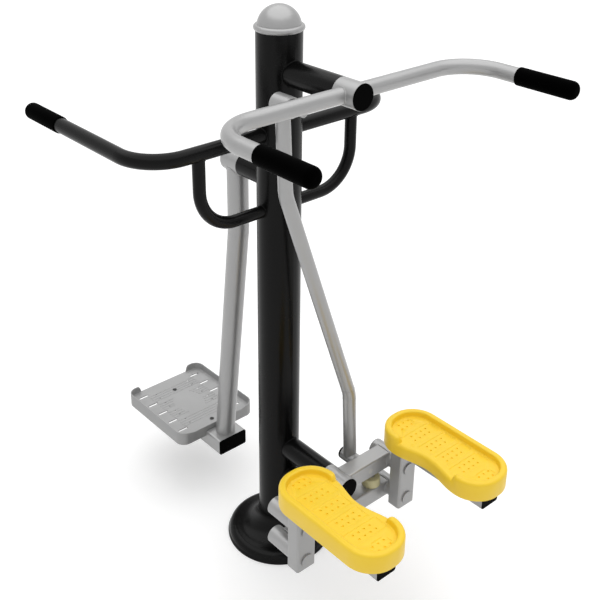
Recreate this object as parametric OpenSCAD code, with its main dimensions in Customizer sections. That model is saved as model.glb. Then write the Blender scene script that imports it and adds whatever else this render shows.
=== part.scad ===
// Stepper and surf trainer for an outdoor gym, in millimetres.
// +Z is up, +X points to the stepper side, the pendulum hangs on the -X side,
// and the origin is the centre of the base plate on the ground.

/* [Post and base] */
// Outer diameter of the round post
post_d = 114.3; // [108:0.1:120]
// Wall thickness of the post
post_wall = 4; // [3:0.5:6]
// Height of the post's top edge above the ground
post_top = 1511; // [1480:1:1530]
// Section radius of the bead round the post cap
cap_bead_r = 7.85; // [6:0.05:9]
// Depth of the cap's plug inside the post
cap_plug_h = 30; // [15:1:50]
// Diameter of the base plate
flange_d = 260; // [240:1:270]
// Thickness of the base plate
flange_t = 10; // [8:1:14]
// Pitch circle diameter of the anchor holes
anchor_pcd = 210; // [200:1:215]
// Diameter of the anchor holes
anchor_hole_d = 18; // [14:0.5:20]
// Number of anchor holes
anchor_count = 4; // [3:1:4]
// Height and reach of the gussets between base plate and post
gusset_size = 34; // [24:1:38]
// Thickness of the gussets
gusset_t = 8; // [6:1:10]
// Outer diameter of the base cover's lip
cover_d = 301.4; // [290:0.2:320]
// Height of the base cover
cover_h = 90; // [84:1:96]
// Radius of the round shoulder at the base cover's rim
cover_roll_r = 22; // [18:1:26]
// Height of the upright lip under the roll
cover_lip_h = 8; // [5:1:12]
// Wall thickness of the base cover
cover_wall = 3; // [2:0.5:4]

/* [Arms and pivots] */
// Outer diameter of the arms that carry the pivots
arm_d = 63.5; // [60:0.1:66]
// Wall thickness of the arms
arm_wall = 3.2; // [2.5:0.1:4]
// Distance from the post's axis to the end of the handlebar's arm
handlebar_arm_reach = 215.5; // [208:0.5:222]
// Distance from the post's axis to the end of the rocking beams' arms
arm_reach = 205.5; // [190:0.5:220]
// Distance from the post's axis to the end of the pendulum's arm
stub_reach = 137; // [125:1:150]
// Height of the handlebar's pivot
handlebar_z = 1416.5; // [1395:0.5:1430]
// Height of the surf side's fixed bar
surf_bar_z = 1261.4; // [1240:0.2:1280]
// Height of the pendulum's pivot
pendulum_z = 1131; // [1125:1:1145]
// Height of the upper rocking beam's pivot
rocker_z = 330; // [322:1:345]
// Vertical distance between the two rocking beams
beam_pitch = 97; // [92:1:104]
// Outer diameter of the pivot hubs
hub_d = 63.5; // [61:0.1:66]
// Length of the handlebar's hub
handlebar_hub_len = 67; // [62:1:76]
// Length of the rocking beams' hubs
hub_len = 77; // [72:1:84]
// Length of the pendulum's hub
pendulum_hub_len = 64; // [62:1:76]
// Diameter of the pivot axles
axle_d = 25; // [22:0.5:27]
// Outer diameter of the sealed ball bearings
bearing_d = 52; // [48:0.5:54]
// Width of the sealed ball bearings
bearing_w = 15; // [12:0.5:16]
// Length of the welded plug in an arm's end
plug_len = 30; // [20:1:40]
// Thickness of the hubs' black end caps
hub_cap_t = 2.2; // [1.5:0.1:4]

/* [Handlebars] */
// Outer diameter of both handlebars' tubes
bar_d = 38.1; // [34:0.1:42]
// Wall thickness of the bent tubes
bar_wall = 2.5; // [2:0.1:3.2]
// Radius of the handlebars' bends on the tube's axis
bar_bend_r = 106; // [80:1:115]
// Distance between the two ends of a handlebar
bar_span = 780; // [740:1:820]
// Reach of the moving handlebar from its own straight run to the grips' tips
bar_reach = 320; // [300:1:360]
// Distance from the post's axis to the surf bar's tips
surf_bar_reach = 538; // [520:1:580]
// Distance from the hub's outer end to the moving handlebar's axis
bar_inset = 40.5; // [36:0.5:45]
// Outer diameter of the grips
grip_d = 44; // [42:0.5:48]
// Length of the grips
grip_len = 158; // [140:1:180]
// Outer diameter of the brace loops' tubes
loop_d = 31.8; // [28:0.1:34]
// Distance of the brace loops' uprights from the post's axis
loop_y = 245; // [225:1:270]
// Height of the brace loops' lower run
loop_z = 1060; // [1040:1:1075]
// Bend radius of the brace loops
loop_bend_r = 105; // [80:1:115]

/* [Rocking beams] */
// Side of the square beam tubes
beam_side = 50; // [46:1:50]
// Wall thickness of the square and flat tubes
box_wall = 3; // [2:0.5:4]
// Outer corner radius of the square and flat tubes
box_corner = 6; // [4:0.5:8]
// Distance of the leg pivots from the middle
leg_y = 185.5; // [180:0.5:195]
// Outer diameter of the beams' end sleeves
sleeve_d = 50; // [46:0.5:50]
// Length of the beams' end sleeves
sleeve_len = 82.5; // [76:0.5:90]
// Diameter of the leg pins
leg_pin_d = 20; // [16:0.5:20]
// Diameter of the round heads of the leg pins
pin_head_d = 36; // [30:0.5:40]
// Diameter of the rubber buffers
buffer_d = 50; // [40:1:50]
// Height of the rubber buffers
buffer_h = 26; // [22:1:36]
// Distance of the buffers from the middle
buffer_y = 129; // [110:1:132]

/* [Pedals] */
// Width of a leg across the machine
leg_w = 61; // [54:1:62]
// Depth of a leg from back to front
leg_t = 42; // [36:1:42]
// Height of the legs' lower ends above the ground
leg_bottom = 205; // [190:1:210]
// Height of the pedal arms' top face
pedal_seat_z = 428; // [424:1:440]
// Distance from the post's axis to the front ends of the pedal arms
pedal_arm_reach = 600; // [560:1:610]
// Distance of a pedal's middle from the post's axis
pedal_x = 444; // [436:1:450]
// Length of a pedal
pedal_len = 360; // [340:1:366]
// Width of a pedal
pedal_w = 158; // [150:1:166]
// Corner radius of a pedal
pedal_corner = 74; // [68:1:74]
// Height of a pedal's tread above the arm
tread_h = 38; // [34:1:42]
// Gap between the pedal arm and the skirt's lower edge
skirt_gap = 6; // [3:0.5:10]
// Height of the raised rim above the tread
rim_h = 16; // [12:1:22]
// Width of the raised rim
rim_w = 22; // [18:1:24]
// Depth of the dent in a pedal's inner side
dent_depth = 18; // [14:1:26]
// Length of that dent
dent_len = 206; // [190:1:208]
// Number of raised bands across the tread
band_count = 5; // [3:1:6]
// Width of those bands
band_w = 16; // [10:1:18]
// Distance between a pedal's two bolts
pedal_bolt_pitch = 192; // [160:1:210]

/* [Link] */
// Diameter of the link's tube
link_d = 36; // [32:1:38]
// Distance of the link's lower end from the post's axis
link_low_x = 188; // [186:1:190]
// Distance of the link's upper end from the post's axis
link_top_x = 128; // [122:1:134]
// Sideways distance of the link's lower pivot
link_low_y = 99.5; // [96:0.5:102]
// Sideways distance of the link's upper pivot
link_top_y = 99; // [96:0.5:102]
// Height of the handlebar's pivot above the link's upper pivot
link_drop = 34.5; // [32:0.5:37]
// Height of the link's lower bend
link_low_bend_z = 545; // [520:1:580]
// Height of the link's upper bend
link_top_bend_z = 1157; // [1130:1:1180]
// Level distance of the link's lower bend from its lower pivot
link_low_bend_off = 9.5; // [7:0.5:13]
// Level distance of the link's upper bend from its upper pivot
link_top_bend_off = 9; // [7:0.5:13]
// Outer diameter of the link's lower sleeve
link_low_sleeve_d = 37; // [35:0.5:40]
// Diameter of the lower link pin
link_low_pin_d = 16; // [12:0.5:16]
// Diameter of the upper link pin
link_top_pin_d = 12; // [10:0.5:14]

/* [Pendulum] */
// Diameter of the pendulum's tube
pendulum_d = 58; // [54:0.1:60]
// Height of the bend in the pendulum's tube
pendulum_bend_z = 933; // [900:1:960]
// Outward slope of the pendulum's lower part in degrees
pendulum_slope = 6.8; // [5:0.1:8]
// Width of the foot tube
foot_tube_w = 100; // [90:1:104]
// Height of the foot tube
foot_tube_h = 50; // [44:1:52]
// Height of the foot tube's top face above the ground
foot_tube_top = 213; // [205:1:225]
// Distance from the post's axis to the foot tube's inner end
foot_tube_near = 218; // [212:1:222]
// Length of the foot plate along the foot tube
plate_len = 290; // [280:1:292]
// Width of the foot plate
plate_w = 280; // [260:1:300]
// Distance from the post's axis to the foot plate's outer edge
plate_far = 593; // [591:1:600]
// Corner radius of the foot plate
plate_corner = 30; // [22:1:36]
// Thickness of the foot plate's tread
plate_t = 4; // [3:0.5:5]
// Depth of the foot plate's skirt below the tread
plate_skirt = 18; // [12:1:24]
// Height of the foot plate's raised side walls above the tread
plate_lip = 22; // [16:1:28]
// Thickness of the foot plate's skirt and side walls
plate_wall = 3.5; // [3:0.5:5]
// Number of slots in each row
slot_count = 5; // [3:1:5]
// Distance between the slots of a row
slot_pitch = 55; // [50:1:56]

/* [Hidden] */
$fn = 64;

// Clearances and gaps
weld_gap = 0.05;
seat_gap = 0.05;
run_gap = 0.05;
side_gap = 1;
cut = 1;

// Colours
black = [0.09, 0.09, 0.095];
jet = [0.02, 0.02, 0.02];
silver = [0.62, 0.63, 0.64];
steel = [0.75, 0.76, 0.78];
zinc = [0.8, 0.79, 0.74];
yellow = [0.99, 0.83, 0.15];
rubber = [0.82, 0.79, 0.6];
nylon = [0.88, 0.88, 0.85];
grey = [0.58, 0.58, 0.58];

post_r = post_d / 2;
post_bore_r = post_r - post_wall;
cover_neck_r = post_r + 2.85;
arm_r = arm_d / 2;
hub_r = hub_d / 2;
hub_bore_r = bearing_d / 2 + seat_gap;
axle_r = axle_d / 2;
bar_r = bar_d / 2;
loop_r = loop_d / 2;
sleeve_r = sleeve_d / 2;
sleeve_bore_r = sleeve_r - 4;
leg_pin_r = leg_pin_d / 2;
lower_rocker_z = rocker_z - beam_pitch;

// The four pivots: arm's end, height, direction of the arm and length of the hub
PIVOTS = [
    [handlebar_arm_reach, handlebar_z, 1, handlebar_hub_len],
    [arm_reach, rocker_z, 1, hub_len],
    [arm_reach, lower_rocker_z, 1, hub_len],
    [-stub_reach, pendulum_z, -1, pendulum_hub_len]
];
HANDLEBAR_PIVOT = PIVOTS[0];
UPPER_PIVOT = PIVOTS[1];
LOWER_PIVOT = PIVOTS[2];
PENDULUM_PIVOT = PIVOTS[3];

// Places along an axle, counted from the arm's end
bearing_in = 6;
nut_t = 12;
nut_room = 18;
axle_tail = 2;
function bearing_out(len) = side_gap + len - nut_room - bearing_w;

hub_mid_x = arm_reach + side_gap + hub_len / 2;
pendulum_x = -(stub_reach + side_gap + pendulum_hub_len / 2);
bar_x = handlebar_arm_reach + side_gap + handlebar_hub_len - bar_inset;
bar_end_y = bar_span / 2;
sleeve_x = hub_mid_x + 41;
leg_x = sleeve_x + side_gap;
leg_top = pedal_seat_z - leg_t;
link_low = [link_low_x, link_low_y, rocker_z];
link_top = [link_top_x, -link_top_y, handlebar_z - link_drop];

// A child's +Z runs out along the arm of the pivot p, from the arm's end
module at_pivot(p)
    translate([p[0], 0, p[1]])
        rotate([0, p[2] * 90, 0])
            children();

// Cylinder along X
module rod_x(x0, x1, r, y = 0, z = 0)
    translate([x0, y, z])
        rotate([0, 90, 0])
            cylinder(h = x1 - x0, r = r);

// Round tube along Z with its lower end at z0
module pipe(z0, z1, r, bore_r)
    translate([0, 0, z0])
        difference() {
            cylinder(h = z1 - z0, r = r);
            translate([0, 0, -cut])
                cylinder(h = z1 - z0 + 2 * cut, r = bore_r);
        }

// Round tube along X
module pipe_x(x0, x1, r, bore_r, y = 0, z = 0)
    translate([x0, y, z])
        rotate([0, 90, 0])
            pipe(0, x1 - x0, r, bore_r);

// Rectangle with round corners, centred
module round_rect(w, h, r) {
    square([w - 2 * r, h], center = true);
    square([w, h - 2 * r], center = true);
    for (sx = [-1, 1], sy = [-1, 1])
        translate([sx * (w / 2 - r), sy * (h / 2 - r)])
            circle(r);
}

// Wall of a flat tube's section, centred
module box_section(w, h)
    difference() {
        round_rect(w, h, box_corner);
        round_rect(w - 2 * box_wall, h - 2 * box_wall, box_corner - box_wall);
    }

// Wall of a round tube's section
module ring_section(r, wall)
    difference() {
        circle(r);
        circle(r - wall);
    }

// Weld seam that joins a straight run to the bend it meets at z = 0
module seam(r, wall) {
    lap = 0.35;
    seam_w = 5;
    translate([0, 0, -seam_w / 2])
        linear_extrude(seam_w)
            difference() {
                circle(r + lap);
                circle(r - wall - lap);
            }
}

// Hexagonal nut along Z
module nut(z0, h, across, bore_r)
    translate([0, 0, z0])
        difference() {
            cylinder(h = h, r = across / 2 / cos(30), $fn = 6);
            translate([0, 0, -cut])
                cylinder(h = h + 2 * cut, r = bore_r);
        }

// Domed black cap with a ring that plugs into a bore
module end_cap(z0, t, r, plug_r, plug_h, plug_wall) {
    edge = t * 0.6;
    translate([0, 0, z0])
        rotate_extrude() {
            square([r, t - edge]);
            square([r - edge, t]);
            translate([r - edge, t - edge])
                intersection() {
                    circle(edge);
                    square(edge);
                }
            translate([plug_r - plug_wall, -plug_h])
                square([plug_wall, plug_h + t / 2]);
        }
}

// Post and base

module post_cutter(gap = weld_gap)
    translate([0, 0, flange_t])
        cylinder(h = post_top, r = post_r + gap);

module post()
    color(black)
        pipe(flange_t, post_top, post_r, post_bore_r);

// Moulded dome with a bead that sits on the post's edge and a plug inside it
module post_cap() {
    wall = 4;
    dome_r = post_r - 3.3;
    dome_z = post_top + cap_bead_r + 0.15;
    color(silver)
        rotate_extrude()
            difference() {
                union() {
                    translate([0, dome_z])
                        intersection() {
                            circle(dome_r);
                            square(dome_r);
                        }
                    translate([dome_r, dome_z])
                        circle(cap_bead_r);
                    translate([0, post_top])
                        square([dome_r, dome_z - post_top]);
                    translate([0, post_top - cap_plug_h])
                        square([post_bore_r - seat_gap, cap_plug_h + cut]);
                }
                translate([0, dome_z])
                    circle(dome_r - wall);
                translate([-cut, post_top - cap_plug_h - cut])
                    square([post_bore_r - wall + cut, cap_plug_h + cap_bead_r + cut]);
            }
}

module base_plate()
    color(black) {
        difference() {
            cylinder(h = flange_t, r = flange_d / 2);
            for (i = [0 : anchor_count - 1])
                rotate(45 + i * 360 / anchor_count)
                    translate([anchor_pcd / 2, 0, -cut])
                        cylinder(h = flange_t + 2 * cut, r = anchor_hole_d / 2);
        }
        for (i = [0 : anchor_count - 1])
            rotate(i * 360 / anchor_count)
                gusset();
    }

module gusset()
    difference() {
        translate([0, gusset_t / 2, flange_t])
            rotate([90, 0, 0])
                linear_extrude(gusset_t)
                    polygon([
                        [post_r - 2, 0],
                        [post_r + gusset_size, 0],
                        [post_r + gusset_size, 6],
                        [post_r + 6, gusset_size],
                        [post_r - 2, gusset_size]
                    ]);
        post_cutter();
    }

// Area under the base cover's profile, drawn back by inset: an upright lip, a
// round shoulder, a short flat and a hollow flare that ends upright at the neck
module cover_area(inset) {
    steps = 16;
    lip_r = cover_d / 2;
    flare_r = cover_h - cover_lip_h - cover_roll_r;
    flare_x = cover_neck_r + flare_r;
    polygon([
        [0, 0],
        [lip_r - inset, 0],
        for (i = [0 : steps])
            [lip_r - cover_roll_r, cover_lip_h] + (cover_roll_r - inset) * quarter(i / steps),
        for (i = [0 : steps])
            [flare_x, cover_h] - (flare_r + inset) * quarter(1 - i / steps),
        [0, cover_h]
    ]);
}
function quarter(share) = [cos(90 * share), sin(90 * share)];

module base_cover()
    color(black)
        rotate_extrude($fn = 96)
            difference() {
                cover_area(0);
                difference() {
                    cover_area(cover_wall);
                    translate([0, cover_h - cover_wall])
                        square([cover_neck_r, cover_wall + cut]);
                }
                translate([-cut, -cut])
                    square([post_r + weld_gap + cut, cover_h + 2 * cut]);
            }

// Arms and what they carry

module arm(p) {
    from = 20;
    difference() {
        at_pivot(p)
            pipe(from - abs(p[0]), 0, arm_r, arm_r - arm_wall);
        post_cutter();
    }
}

module handlebar_arm()
    color(black)
        arm(HANDLEBAR_PIVOT);

module rocker_arms()
    color(black) {
        arm(UPPER_PIVOT);
        arm(LOWER_PIVOT);
    }

module pendulum_arm()
    color(black)
        arm(PENDULUM_PIVOT);

module arm_end_plugs()
    color(steel)
        for (p = PIVOTS)
            at_pivot(p)
                pipe(-plug_len, 0, arm_r - arm_wall - seat_gap, axle_r + seat_gap);

module pivot_axles()
    color(steel)
        for (p = PIVOTS)
            at_pivot(p)
                translate([0, 0, -plug_len])
                    cylinder(h = plug_len + bearing_out(p[3]) + bearing_w + nut_t + axle_tail, r = axle_r);

// Two spacers on each axle: up to the first bearing and between the bearings
module axle_spacers() {
    spacer_r = axle_r + 3.5;
    color(zinc)
        for (p = PIVOTS)
            at_pivot(p) {
                pipe(seat_gap, bearing_in - seat_gap, spacer_r, axle_r + seat_gap);
                pipe(
                    bearing_in + bearing_w + seat_gap,
                    bearing_out(p[3]) - seat_gap,
                    spacer_r,
                    axle_r + seat_gap
                );
            }
}

module axle_nuts()
    color(zinc)
        for (p = PIVOTS)
            at_pivot(p)
                nut(bearing_out(p[3]) + bearing_w + seat_gap, nut_t, axle_d + 11, axle_r + seat_gap);

module hub(p)
    at_pivot(p)
        pipe(side_gap, side_gap + p[3], hub_r, hub_bore_r);

// Sealed ball bearings: two rings and the sunk shields between them
module bearing_pair(p)
    at_pivot(p)
        for (z = [bearing_in, bearing_out(p[3])])
            translate([0, 0, z])
                rotate_extrude()
                    difference() {
                        translate([axle_r + run_gap, 0])
                            square([bearing_d / 2 - axle_r - run_gap, bearing_w]);
                        for (h = [-cut, bearing_w - 0.6])
                            translate([axle_r + 4, h])
                                square([bearing_d / 2 - axle_r - 7.5, 0.6 + cut]);
                    }

module hub_cap(p)
    at_pivot(p)
        end_cap(side_gap + p[3], hub_cap_t, hub_r - 0.6, hub_bore_r - seat_gap, 8, 2.5);

// Bent tube in the plane of its own X and Y: a run along +Y from the origin to
// run_y, a quarter bend towards +X and a run on to run_x
module bent_tube(run_y, run_x, bend_r, r, wall) {
    rotate([-90, 0, 0])
        linear_extrude(run_y - bend_r)
            ring_section(r, wall);
    translate([bend_r, run_y - bend_r, 0])
        rotate(90)
            rotate_extrude(angle = 90)
                translate([bend_r, 0])
                    ring_section(r, wall);
    translate([bend_r, run_y, 0])
        rotate([90, 0, 90])
            linear_extrude(run_x - bend_r)
                ring_section(r, wall);
}

// Rubber grip along +Z over a tube's end, closed by a round tip at z1
module grip(z1, tube_end) {
    tip_r = 15;
    grip_r = grip_d / 2;
    bore_r = bar_r + seat_gap;
    rotate_extrude()
        difference() {
            union() {
                translate([0, z1 - grip_len])
                    square([grip_r, grip_len - tip_r]);
                square([grip_r - tip_r, z1]);
                translate([grip_r - tip_r, z1 - tip_r])
                    intersection() {
                        circle(tip_r);
                        square(tip_r);
                    }
            }
            translate([-cut, -cut])
                square([bore_r + cut, tube_end + seat_gap + cut]);
            translate([-cut, -cut])
                square([grip_r + 2 * cut, z1 - grip_len + cut]);
        }
}

tip_wall = 10;

module surf_bar_half()
    difference() {
        translate([0, 0, surf_bar_z])
            mirror([1, 0, 0])
                translate([0, 30, 0])
                    bent_tube(bar_end_y - 30, surf_bar_reach - tip_wall, bar_bend_r, bar_r, bar_wall);
        post_cutter();
    }

module surf_bars()
    color(black) {
        surf_bar_half();
        mirror([0, 1, 0])
            surf_bar_half();
    }

module surf_grips()
    color(jet)
        for (s = [-1, 1])
            translate([0, s * bar_end_y, surf_bar_z])
                rotate([0, -90, 0])
                    grip(surf_bar_reach, surf_bar_reach - tip_wall);

// Loop from the post out along +Y and up to the surf bar's underside
module brace_loop()
    difference() {
        translate([0, 30, loop_z])
            rotate([0, -90, 0])
                bent_tube(loop_y - 30, surf_bar_z - loop_z, loop_bend_r, loop_r, bar_wall);
        post_cutter();
        translate([0, loop_y - loop_d, surf_bar_z])
            rotate([-90, 0, 0])
                cylinder(h = 2 * loop_d, r = bar_r + weld_gap);
        translate([-loop_d, loop_y - loop_d, surf_bar_z])
            cube(2 * loop_d);
    }

module brace_loops()
    color(black) {
        brace_loop();
        mirror([0, 1, 0])
            brace_loop();
    }

// Moving handlebar

module hub_cutter(p)
    at_pivot(p)
        cylinder(h = p[3] + 4 * side_gap, r = hub_r + weld_gap);

module handlebar_hub()
    color(silver)
        hub(HANDLEBAR_PIVOT);

module handlebar_half()
    difference() {
        translate([bar_x, 20, handlebar_z])
            bent_tube(bar_end_y - 20, bar_reach - tip_wall, bar_bend_r, bar_r, bar_wall);
        hub_cutter(HANDLEBAR_PIVOT);
    }

module handlebars()
    color(silver) {
        handlebar_half();
        mirror([0, 1, 0])
            handlebar_half();
    }

module handlebar_grips()
    color(jet)
        for (s = [-1, 1])
            translate([bar_x, s * bar_end_y, handlebar_z])
                rotate([0, 90, 0])
                    grip(bar_reach, bar_reach - tip_wall);

module handlebar_bearings()
    color(steel)
        bearing_pair(HANDLEBAR_PIVOT);

module handlebar_hub_cap()
    color(jet)
        hub_cap(HANDLEBAR_PIVOT);

// Cranked lug behind and below the handlebar that holds the link's upper pin
lug_t = 10;
lug_r = 12;
lug_x = bar_x - 51;

module link_lug()
    color(silver)
        difference() {
            intersection() {
                translate([0, link_top[1] + lug_r, 0])
                    rotate([90, 0, 0])
                        linear_extrude(2 * lug_r)
                            polygon([
                                [lug_x, link_top[2] - lug_r],
                                [lug_x + lug_t, link_top[2] - lug_r],
                                [lug_x + lug_t, link_top[2]],
                                [bar_x - bar_r / 2, handlebar_z - bar_r],
                                [bar_x - bar_r / 2, handlebar_z],
                                [lug_x, handlebar_z - bar_r * 0.7]
                            ]);
                union() {
                    rod_x(lug_x - cut, bar_x, lug_r, link_top[1], link_top[2]);
                    translate([lug_x - cut, link_top[1] - lug_r, link_top[2]])
                        cube([bar_x - lug_x + cut, 2 * lug_r, link_drop]);
                }
            }
            rod_x(lug_x - cut, lug_x + lug_t + cut, link_top_pin_d / 2 + seat_gap, link_top[1], link_top[2]);
            translate([bar_x, link_top[1] - 2 * lug_r, handlebar_z])
                rotate([-90, 0, 0])
                    cylinder(h = 4 * lug_r, r = bar_r + weld_gap);
        }

// Sleeves of the link: where each begins, how long it is and its radii
link_low_len = 53;
link_low_from = hub_mid_x - beam_side / 2 - side_gap;
link_low_r = link_low_sleeve_d / 2;
link_low_bore_r = link_low_r - 3.5;
link_top_len = 53;
link_top_from = link_top_x + 35;
link_top_r = sleeve_r;
link_top_bore_r = sleeve_r - 2.8;
link_cap_t = 8;
link_cap_plug = 5;

// Pin welded into the lug, with the ring that keeps the link on it
module link_top_pin() {
    tail_x = link_top_from - link_top_len + link_cap_plug + side_gap;
    color(zinc) {
        rod_x(tail_x, lug_x + lug_t, link_top_pin_d / 2, link_top[1], link_top[2]);
        pipe_x(
            tail_x + 6,
            tail_x + 9,
            link_top_pin_d / 2 + 2.5,
            link_top_pin_d / 2 + seat_gap,
            link_top[1],
            link_top[2]
        );
    }
}

// Rocking beams

module beam_half(p)
    difference() {
        translate([hub_mid_x, 0, p[1]])
            rotate([-90, 0, 0])
                linear_extrude(leg_y - sleeve_r * 0.45)
                    box_section(beam_side, beam_side);
        hub_cutter(p);
        sleeve_cutter(p);
    }

module sleeve_cutter(p)
    rod_x(
        sleeve_x - sleeve_len - cut,
        sleeve_x + cut,
        sleeve_r + weld_gap,
        leg_y,
        p[1]
    );

module beam_tubes(p) {
    beam_half(p);
    mirror([0, 1, 0])
        beam_half(p);
}

module beam_sleeves(p)
    for (s = [-1, 1])
        pipe_x(sleeve_x - sleeve_len, sleeve_x, sleeve_r, sleeve_bore_r, s * leg_y, p[1]);

// A child's +Z runs from the sleeve's front end back towards the post
module at_sleeves(p)
    for (s = [-1, 1])
        translate([sleeve_x, s * leg_y, p[1]])
            rotate([0, -90, 0])
                children();

leg_bush_len = 20;
leg_nut_t = 10;
leg_nut_z = sleeve_len - 22;

module beam_bushes(p)
    at_sleeves(p)
        for (z = [side_gap, leg_nut_z - leg_bush_len - side_gap])
            pipe(z, z + leg_bush_len, sleeve_bore_r - seat_gap, leg_pin_r + run_gap);

module beam_caps(p) {
    hub_cap(p);
    at_sleeves(p)
        end_cap(sleeve_len, 2, sleeve_r - 0.4, sleeve_bore_r - seat_gap, 6, 1.6);
}

module upper_beam_hub()
    color(silver)
        hub(UPPER_PIVOT);

module upper_beam_tubes()
    color(silver)
        difference() {
            beam_tubes(UPPER_PIVOT);
            translate([link_low_from, link_low[1], rocker_z])
                rotate([0, 90, 0])
                    cylinder(h = beam_side + 2 * side_gap, r = link_low_pin_d / 2 + seat_gap);
        }

module upper_beam_sleeves()
    color(silver)
        beam_sleeves(UPPER_PIVOT);

module upper_beam_bearings()
    color(steel)
        bearing_pair(UPPER_PIVOT);

module upper_beam_bushes()
    color(nylon)
        beam_bushes(UPPER_PIVOT);

module upper_beam_caps()
    color(jet)
        beam_caps(UPPER_PIVOT);

// Pin welded through the upper beam, with the nut that keeps the link on it
module link_low_pin() {
    pin_r = link_low_pin_d / 2;
    color(zinc) {
        rod_x(
            link_low_from - link_low_len + link_cap_plug + side_gap,
            hub_mid_x + beam_side / 2,
            pin_r,
            link_low[1],
            link_low[2]
        );
        translate([link_low_from, link_low[1], link_low[2]])
            rotate([0, -90, 0])
                nut(link_low_nut_z, 10, link_low_pin_d + 8, pin_r + seat_gap);
    }
}
link_bush_len = 12;
link_low_nut_z = link_low_len - link_cap_plug - 12;

module lower_beam_hub()
    color(silver)
        hub(LOWER_PIVOT);

module lower_beam_tubes()
    color(silver)
        difference() {
            beam_tubes(LOWER_PIVOT);
            for (s = [-1, 1])
                translate([hub_mid_x, s * buffer_y, lower_rocker_z])
                    cylinder(h = beam_side, r = buffer_bolt_d / 2 + seat_gap);
        }

module lower_beam_sleeves()
    color(silver)
        beam_sleeves(LOWER_PIVOT);

module lower_beam_bearings()
    color(steel)
        bearing_pair(LOWER_PIVOT);

module lower_beam_bushes()
    color(nylon)
        beam_bushes(LOWER_PIVOT);

module lower_beam_caps()
    color(jet)
        beam_caps(LOWER_PIVOT);

buffer_bolt_d = 10;
buffer_sink = 12;

module at_buffers()
    for (s = [-1, 1])
        translate([hub_mid_x, s * buffer_y, lower_rocker_z + beam_side / 2])
            children();

// Rubber buffers with a round edge, drilled and counterbored for their bolts
module rubber_buffers() {
    edge = 4;
    buffer_r = buffer_d / 2;
    color(rubber)
        at_buffers()
            rotate_extrude()
                difference() {
                    union() {
                        square([buffer_r, buffer_h - edge]);
                        square([buffer_r - edge, buffer_h]);
                        translate([buffer_r - edge, buffer_h - edge])
                            circle(edge);
                    }
                    translate([-cut, -cut])
                        square([buffer_bolt_d / 2 + seat_gap + cut, buffer_h + 2 * cut]);
                    translate([-cut, buffer_h - buffer_sink])
                        square([buffer_bolt_d + cut, buffer_sink + cut]);
                }
}

// Cap screws that hold the buffers, with nuts inside the beam
module buffer_bolts()
    color(zinc)
        at_buffers() {
            translate([0, 0, -box_wall - 9])
                cylinder(h = 9 + box_wall + buffer_h - buffer_sink + cut / 2, r = buffer_bolt_d / 2);
            translate([0, 0, buffer_h - buffer_sink + seat_gap])
                cylinder(h = 8, r = buffer_bolt_d * 0.85);
            nut(-box_wall - 8 - seat_gap, 8, buffer_bolt_d * 1.7, buffer_bolt_d / 2 + seat_gap);
        }

// Legs and pedals, drawn for the +Y side

module leg_pin_holes()
    for (z = [rocker_z, lower_rocker_z])
        rod_x(leg_x - cut, leg_x + leg_t + cut, leg_pin_r + seat_gap, leg_y, z);

module leg()
    color(silver) {
        difference() {
            union() {
                translate([leg_x + leg_t / 2, leg_y, leg_bottom])
                    linear_extrude(leg_top - leg_bottom - weld_gap)
                        box_section(leg_t, leg_w);
                translate([leg_x + leg_t / 2, leg_y, leg_bottom])
                    linear_extrude(box_wall)
                        round_rect(leg_t, leg_w, box_corner);
                for (z = [rocker_z, lower_rocker_z])
                    rod_x(leg_x + 1, leg_x + leg_t - 1, leg_pin_r + 5, leg_y, z);
            }
            leg_pin_holes();
        }
        difference() {
            translate([leg_x, leg_y, pedal_seat_z - leg_t / 2])
                rotate([90, 0, 90])
                    linear_extrude(pedal_arm_reach - leg_x)
                        box_section(leg_w, leg_t);
            for (x = pedal_bolt_x)
                translate([x, leg_y, leg_top - cut])
                    cylinder(h = leg_t + 2 * cut, r = pedal_bolt_d / 2 + seat_gap);
        }
    }

// Pins with round heads on the legs' front faces, and their nuts in the sleeves
module leg_pins() {
    head_t = 4;
    color(zinc)
        for (z = [rocker_z, lower_rocker_z])
            translate([sleeve_x, leg_y, z])
                rotate([0, -90, 0]) {
                    translate([0, 0, -side_gap - leg_t])
                        cylinder(h = side_gap + leg_t + leg_nut_z + leg_nut_t + 3, r = leg_pin_r);
                    translate([0, 0, -side_gap - leg_t - head_t])
                        cylinder(h = head_t, r = pin_head_d / 2);
                    nut(leg_nut_z, leg_nut_t, leg_pin_d * 1.5, leg_pin_r + seat_gap);
                }
}

pedal_bolt_d = 10;
pedal_bolt_x = [pedal_x - pedal_bolt_pitch / 2, pedal_x + pedal_bolt_pitch / 2];
pedal_bolt_reach = 16;

module pedal_bolts()
    color(zinc)
        for (x = pedal_bolt_x)
            translate([x, leg_y, leg_top]) {
                cylinder(h = leg_t + pedal_bolt_reach, r = pedal_bolt_d / 2);
                translate([0, 0, -6])
                    cylinder(h = 6, r = 9.8, $fn = 6);
            }

module pedal_arm_caps() {
    cap_t = 2;
    plug_h = 10;
    color(jet)
        for (s = [0, 1])
            translate([s == 0 ? leg_x : pedal_arm_reach, leg_y, pedal_seat_z - leg_t / 2])
                rotate([90, 0, 90]) {
                    translate([0, 0, s == 0 ? -cap_t + side_gap / 2 : 0])
                        linear_extrude(s == 0 ? cap_t - side_gap / 2 : cap_t)
                            round_rect(leg_w - 1, leg_t - 1, box_corner);
                    translate([0, 0, s == 0 ? 0 : -plug_h])
                        linear_extrude(plug_h)
                            round_rect(
                                leg_w - 2 * box_wall - 2 * seat_gap,
                                leg_t - 2 * box_wall - 2 * seat_gap,
                                box_corner - box_wall
                            );
                }
}

// The pedal is a moulded shell: one closed skin swept round its outline.
// Each station of the outline is a place, its inward direction and the share
// of the rim's height that stands there.
dent_half = dent_len / 2;
corner_u = pedal_len / 2 - pedal_corner;
corner_v = pedal_w / 2 - pedal_corner;
arc_steps = 8;
side_steps = 26;

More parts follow.
